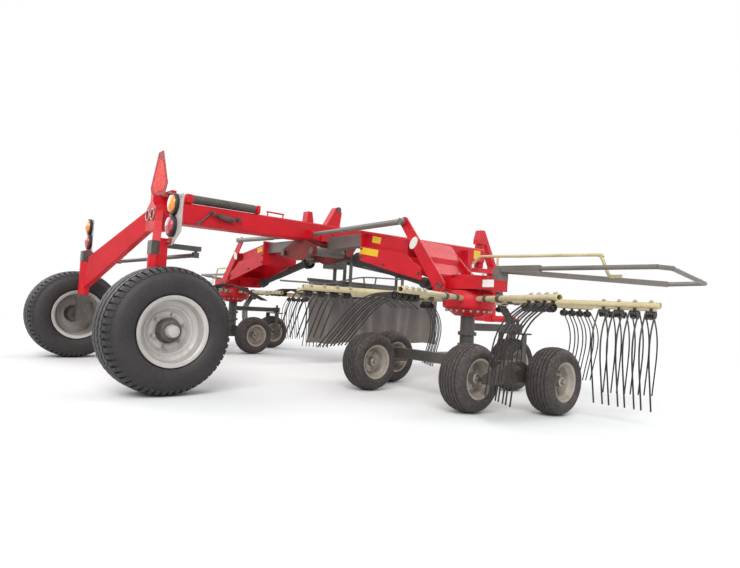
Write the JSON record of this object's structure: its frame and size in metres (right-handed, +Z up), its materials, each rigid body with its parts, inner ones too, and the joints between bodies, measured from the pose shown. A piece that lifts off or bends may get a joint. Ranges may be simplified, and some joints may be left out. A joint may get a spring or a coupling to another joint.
{
  "type": "twin rotor hay rake",
  "caption": "Trailed hay rake with a long box beam on two steered rear wheels and a folding arm each side that carries a turning tined rotor on small wheels, with a curtain between.",
  "frame": {"origin": "on the ground, midway between the two sides and midway along the machine's length", "axes": "+X to the machine's right-hand side, +Y forward to the hitch, +Z up"},
  "size_m": [7.034, 5.75, 1.9273],
  "materials": {
    "red_paint": "glossy red paint",
    "dark_grey_paint": "satin dark grey paint",
    "grey_paint": "satin grey paint",
    "board_sheet": "satin light grey sheet",
    "warning_red": "glossy orange-red plastic",
    "curtain_canvas": "matt coated canvas",
    "tyre_rubber": "matt black rubber",
    "silver_paint": "satin silver-grey paint",
    "black_guard": "matt black plastic guard",
    "cream_paint": "satin cream paint"
  },
  "bodies": {
    "frame": {"main_beam": "red_paint", "portal": "red_paint", "centre_frame": "red_paint", "centre_gearbox": "dark_grey_paint", "top_tube": "grey_paint", "light_boards": "board_sheet", "warning_plate": "warning_red", "curtain_rail": "dark_grey_paint", "curtain": "curtain_canvas"},
    "headstock": {"headstock": "red_paint"},
    "parking_stand": {"parking_stand": "grey_paint"},
    "tie_rod": {"tie_rod": "dark_grey_paint"},
    "knuckle_right": {"knuckle_right": "dark_grey_paint"},
    "rear_wheel_right": {"rear_tyre_right": "tyre_rubber", "rear_rim_right": "silver_paint"},
    "arm_right": {"arm_right": "grey_paint", "carrier_right": "red_paint", "chassis_right": "dark_grey_paint", "guard_right": "grey_paint"},
    "lift_barrel_right": {"lift_barrel_right": "dark_grey_paint"},
    "lift_rod_right": {"lift_rod_right": "grey_paint"},
    "drive_outer_right": {"drive_outer_right": "black_guard"},
    "drive_inner_right": {"drive_inner_right": "black_guard"},
    "rotor_right": {"rotor_right": "cream_paint"},
    "castor_right": {"castor_right": "dark_grey_paint"},
    "castor_wheel_right": {"castor_wheel_right": "tyre_rubber"},
    "wheel_rear_in_right": {"wheel_rear_in_right": "tyre_rubber"},
    "wheel_rear_out_right": {"wheel_rear_out_right": "tyre_rubber"},
    "wheel_front_in_right": {"wheel_front_in_right": "tyre_rubber"},
    "wheel_front_out_right": {"wheel_front_out_right": "tyre_rubber"},
    "knuckle_left": {"knuckle_left": "dark_grey_paint"},
    "rear_wheel_left": {"rear_tyre_left": "tyre_rubber", "rear_rim_left": "silver_paint"},
    "arm_left": {"arm_left": "grey_paint", "carrier_left": "red_paint", "chassis_left": "dark_grey_paint", "guard_left": "grey_paint"},
    "lift_barrel_left": {"lift_barrel_left": "dark_grey_paint"},
    "lift_rod_left": {"lift_rod_left": "grey_paint"},
    "drive_outer_left": {"drive_outer_left": "black_guard"},
    "drive_inner_left": {"drive_inner_left": "black_guard"},
    "rotor_left": {"rotor_left": "cream_paint"},
    "castor_left": {"castor_left": "dark_grey_paint"},
    "castor_wheel_left": {"castor_wheel_left": "tyre_rubber"},
    "wheel_rear_in_left": {"wheel_rear_in_left": "tyre_rubber"},
    "wheel_rear_out_left": {"wheel_rear_out_left": "tyre_rubber"},
    "wheel_front_in_left": {"wheel_front_in_left": "tyre_rubber"},
    "wheel_front_out_left": {"wheel_front_out_left": "tyre_rubber"}
  },
  "joints": [
    {"name": "headstock_swivel", "type": "hinge", "parent": "frame", "child": "headstock", "pos_m": [0, 2.41, 1.45], "axis": [0, 0, 1], "range_deg": [-60, 60]},
    {"name": "parking_stand_lift", "type": "slide", "parent": "frame", "child": "parking_stand", "axis": [0, 0, 1], "range_m": [0, 0.45]},
    {"name": "steering_right", "type": "hinge", "parent": "frame", "child": "knuckle_right", "pos_m": [0.925, -2.45, 0.78], "axis": [0, 0, 1], "range_deg": [-20, 20]},
    {"name": "steering_left", "type": "hinge", "parent": "frame", "child": "knuckle_left", "pos_m": [-0.925, -2.45, 0.78], "axis": [0, 0, 1], "range_deg": [-20, 20]},
    {"name": "tie_rod_pin", "type": "hinge", "parent": "knuckle_right", "child": "tie_rod", "pos_m": [0.925, -2.15, 0.97], "axis": [0, 0, 1], "range_deg": [-20, 20]},
    {"name": "rear_wheel_spin_right", "type": "hinge", "parent": "knuckle_right", "child": "rear_wheel_right", "pos_m": [1.205, -2.45, 0.425], "axis": [1, 0, 0], "continuous": true},
    {"name": "arm_fold_right", "type": "hinge", "parent": "frame", "child": "arm_right", "pos_m": [0.27, -0.43, 1.2], "axis": [0, -1, 0], "range_deg": [0, 80]},
    {"name": "lift_barrel_pin_right", "type": "hinge", "parent": "arm_right", "child": "lift_barrel_right", "pos_m": [1.477, -0.57, 1.412], "axis": [0, -1, 0], "range_deg": [0, 3.06]},
    {"name": "lift_rod_slide_right", "type": "slide", "parent": "lift_barrel_right", "child": "lift_rod_right", "axis": [0.9998, 0, 0.0206], "range_m": [0, 0.2674]},
    {"name": "drive_shaft_joint_right", "type": "hinge", "parent": "frame", "child": "drive_outer_right", "pos_m": [0.4, -0.18, 1.16], "axis": [0, -1, 0], "range_deg": [0, 85.8]},
    {"name": "drive_shaft_slide_right", "type": "slide", "parent": "drive_outer_right", "child": "drive_inner_right", "axis": [0.9713, 0, -0.238], "range_m": [0, 0.1274]},
    {"name": "rotor_turn_right", "type": "hinge", "parent": "arm_right", "child": "rotor_right", "pos_m": [2.04, -0.3, 0.77], "axis": [0, 0, 1], "continuous": true},
    {"name": "castor_swivel_right", "type": "hinge", "parent": "arm_right", "child": "castor_right", "pos_m": [2.04, 0.4, 0.545], "axis": [0, 0, 1], "continuous": true},
    {"name": "castor_wheel_spin_right", "type": "hinge", "parent": "castor_right", "child": "castor_wheel_right", "pos_m": [2.04, 0.33, 0.2285], "axis": [1, 0, 0], "continuous": true},
    {"name": "wheel_rear_in_spin_right", "type": "hinge", "parent": "arm_right", "child": "wheel_rear_in_right", "pos_m": [1.565, -0.92, 0.2285], "axis": [1, 0, 0], "continuous": true},
    {"name": "wheel_rear_out_spin_right", "type": "hinge", "parent": "arm_right", "child": "wheel_rear_out_right", "pos_m": [2.575, -0.92, 0.2285], "axis": [1, 0, 0], "continuous": true},
    {"name": "wheel_front_in_spin_right", "type": "hinge", "parent": "arm_right", "child": "wheel_front_in_right", "pos_m": [1.255, -0.4, 0.2285], "axis": [1, 0, 0], "continuous": true},
    {"name": "wheel_front_out_spin_right", "type": "hinge", "parent": "arm_right", "child": "wheel_front_out_right", "pos_m": [2.885, -0.4, 0.2285], "axis": [1, 0, 0], "continuous": true},
    {"name": "rear_wheel_spin_left", "type": "hinge", "parent": "knuckle_left", "child": "rear_wheel_left", "pos_m": [-1.205, -2.45, 0.425], "axis": [1, 0, 0], "continuous": true},
    {"name": "arm_fold_left", "type": "hinge", "parent": "frame", "child": "arm_left", "pos_m": [-0.27, -0.43, 1.2], "axis": [0, 1, 0], "range_deg": [0, 80]},
    {"name": "lift_barrel_pin_left", "type": "hinge", "parent": "arm_left", "child": "lift_barrel_left", "pos_m": [-1.477, -0.57, 1.412], "axis": [0, 1, 0], "range_deg": [0, 3.06]},
    {"name": "lift_rod_slide_left", "type": "slide", "parent": "lift_barrel_left", "child": "lift_rod_left", "axis": [-0.9998, 0, 0.0206], "range_m": [0, 0.2674]},
    {"name": "drive_shaft_joint_left", "type": "hinge", "parent": "frame", "child": "drive_outer_left", "pos_m": [-0.4, -0.18, 1.16], "axis": [0, 1, 0], "range_deg": [0, 85.8]},
    {"name": "drive_shaft_slide_left", "type": "slide", "parent": "drive_outer_left", "child": "drive_inner_left", "axis": [-0.9713, 0, -0.238], "range_m": [0, 0.1274]},
    {"name": "rotor_turn_left", "type": "hinge", "parent": "arm_left", "child": "rotor_left", "pos_m": [-2.04, -0.3, 0.77], "axis": [0, 0, -1], "continuous": true},
    {"name": "castor_swivel_left", "type": "hinge", "parent": "arm_left", "child": "castor_left", "pos_m": [-2.04, 0.4, 0.545], "axis": [0, 0, 1], "continuous": true},
    {"name": "castor_wheel_spin_left", "type": "hinge", "parent": "castor_left", "child": "castor_wheel_left", "pos_m": [-2.04, 0.33, 0.2285], "axis": [1, 0, 0], "continuous": true},
    {"name": "wheel_rear_in_spin_left", "type": "hinge", "parent": "arm_left", "child": "wheel_rear_in_left", "pos_m": [-1.565, -0.92, 0.2285], "axis": [1, 0, 0], "continuous": true},
    {"name": "wheel_rear_out_spin_left", "type": "hinge", "parent": "arm_left", "child": "wheel_rear_out_left", "pos_m": [-2.575, -0.92, 0.2285], "axis": [1, 0, 0], "continuous": true},
    {"name": "wheel_front_in_spin_left", "type": "hinge", "parent": "arm_left", "child": "wheel_front_in_left", "pos_m": [-1.255, -0.4, 0.2285], "axis": [1, 0, 0], "continuous": true},
    {"name": "wheel_front_out_spin_left", "type": "hinge", "parent": "arm_left", "child": "wheel_front_out_left", "pos_m": [-2.885, -0.4, 0.2285], "axis": [1, 0, 0], "continuous": true}
  ],
  "couplings": [
    {"joint": "steering_left", "follows": "steering_right", "ratio": 1},
    {"joint": "tie_rod_pin", "follows": "steering_right", "ratio": -1},
    {"joint": "lift_barrel_pin_right", "follows": "arm_fold_right", "ratio": 0.03768},
    {"joint": "lift_rod_slide_right", "follows": "arm_fold_right", "m_per_rad": 0.19082},
    {"joint": "drive_shaft_joint_right", "follows": "arm_fold_right", "ratio": 1.0719},
    {"joint": "drive_shaft_slide_right", "follows": "arm_fold_right", "m_per_rad": 0.09052},
    {"joint": "lift_barrel_pin_left", "follows": "arm_fold_left", "ratio": 0.03768},
    {"joint": "lift_rod_slide_left", "follows": "arm_fold_left", "m_per_rad": 0.19082},
    {"joint": "drive_shaft_joint_left", "follows": "arm_fold_left", "ratio": 1.0719},
    {"joint": "drive_shaft_slide_left", "follows": "arm_fold_left", "m_per_rad": 0.09052}
  ]
}
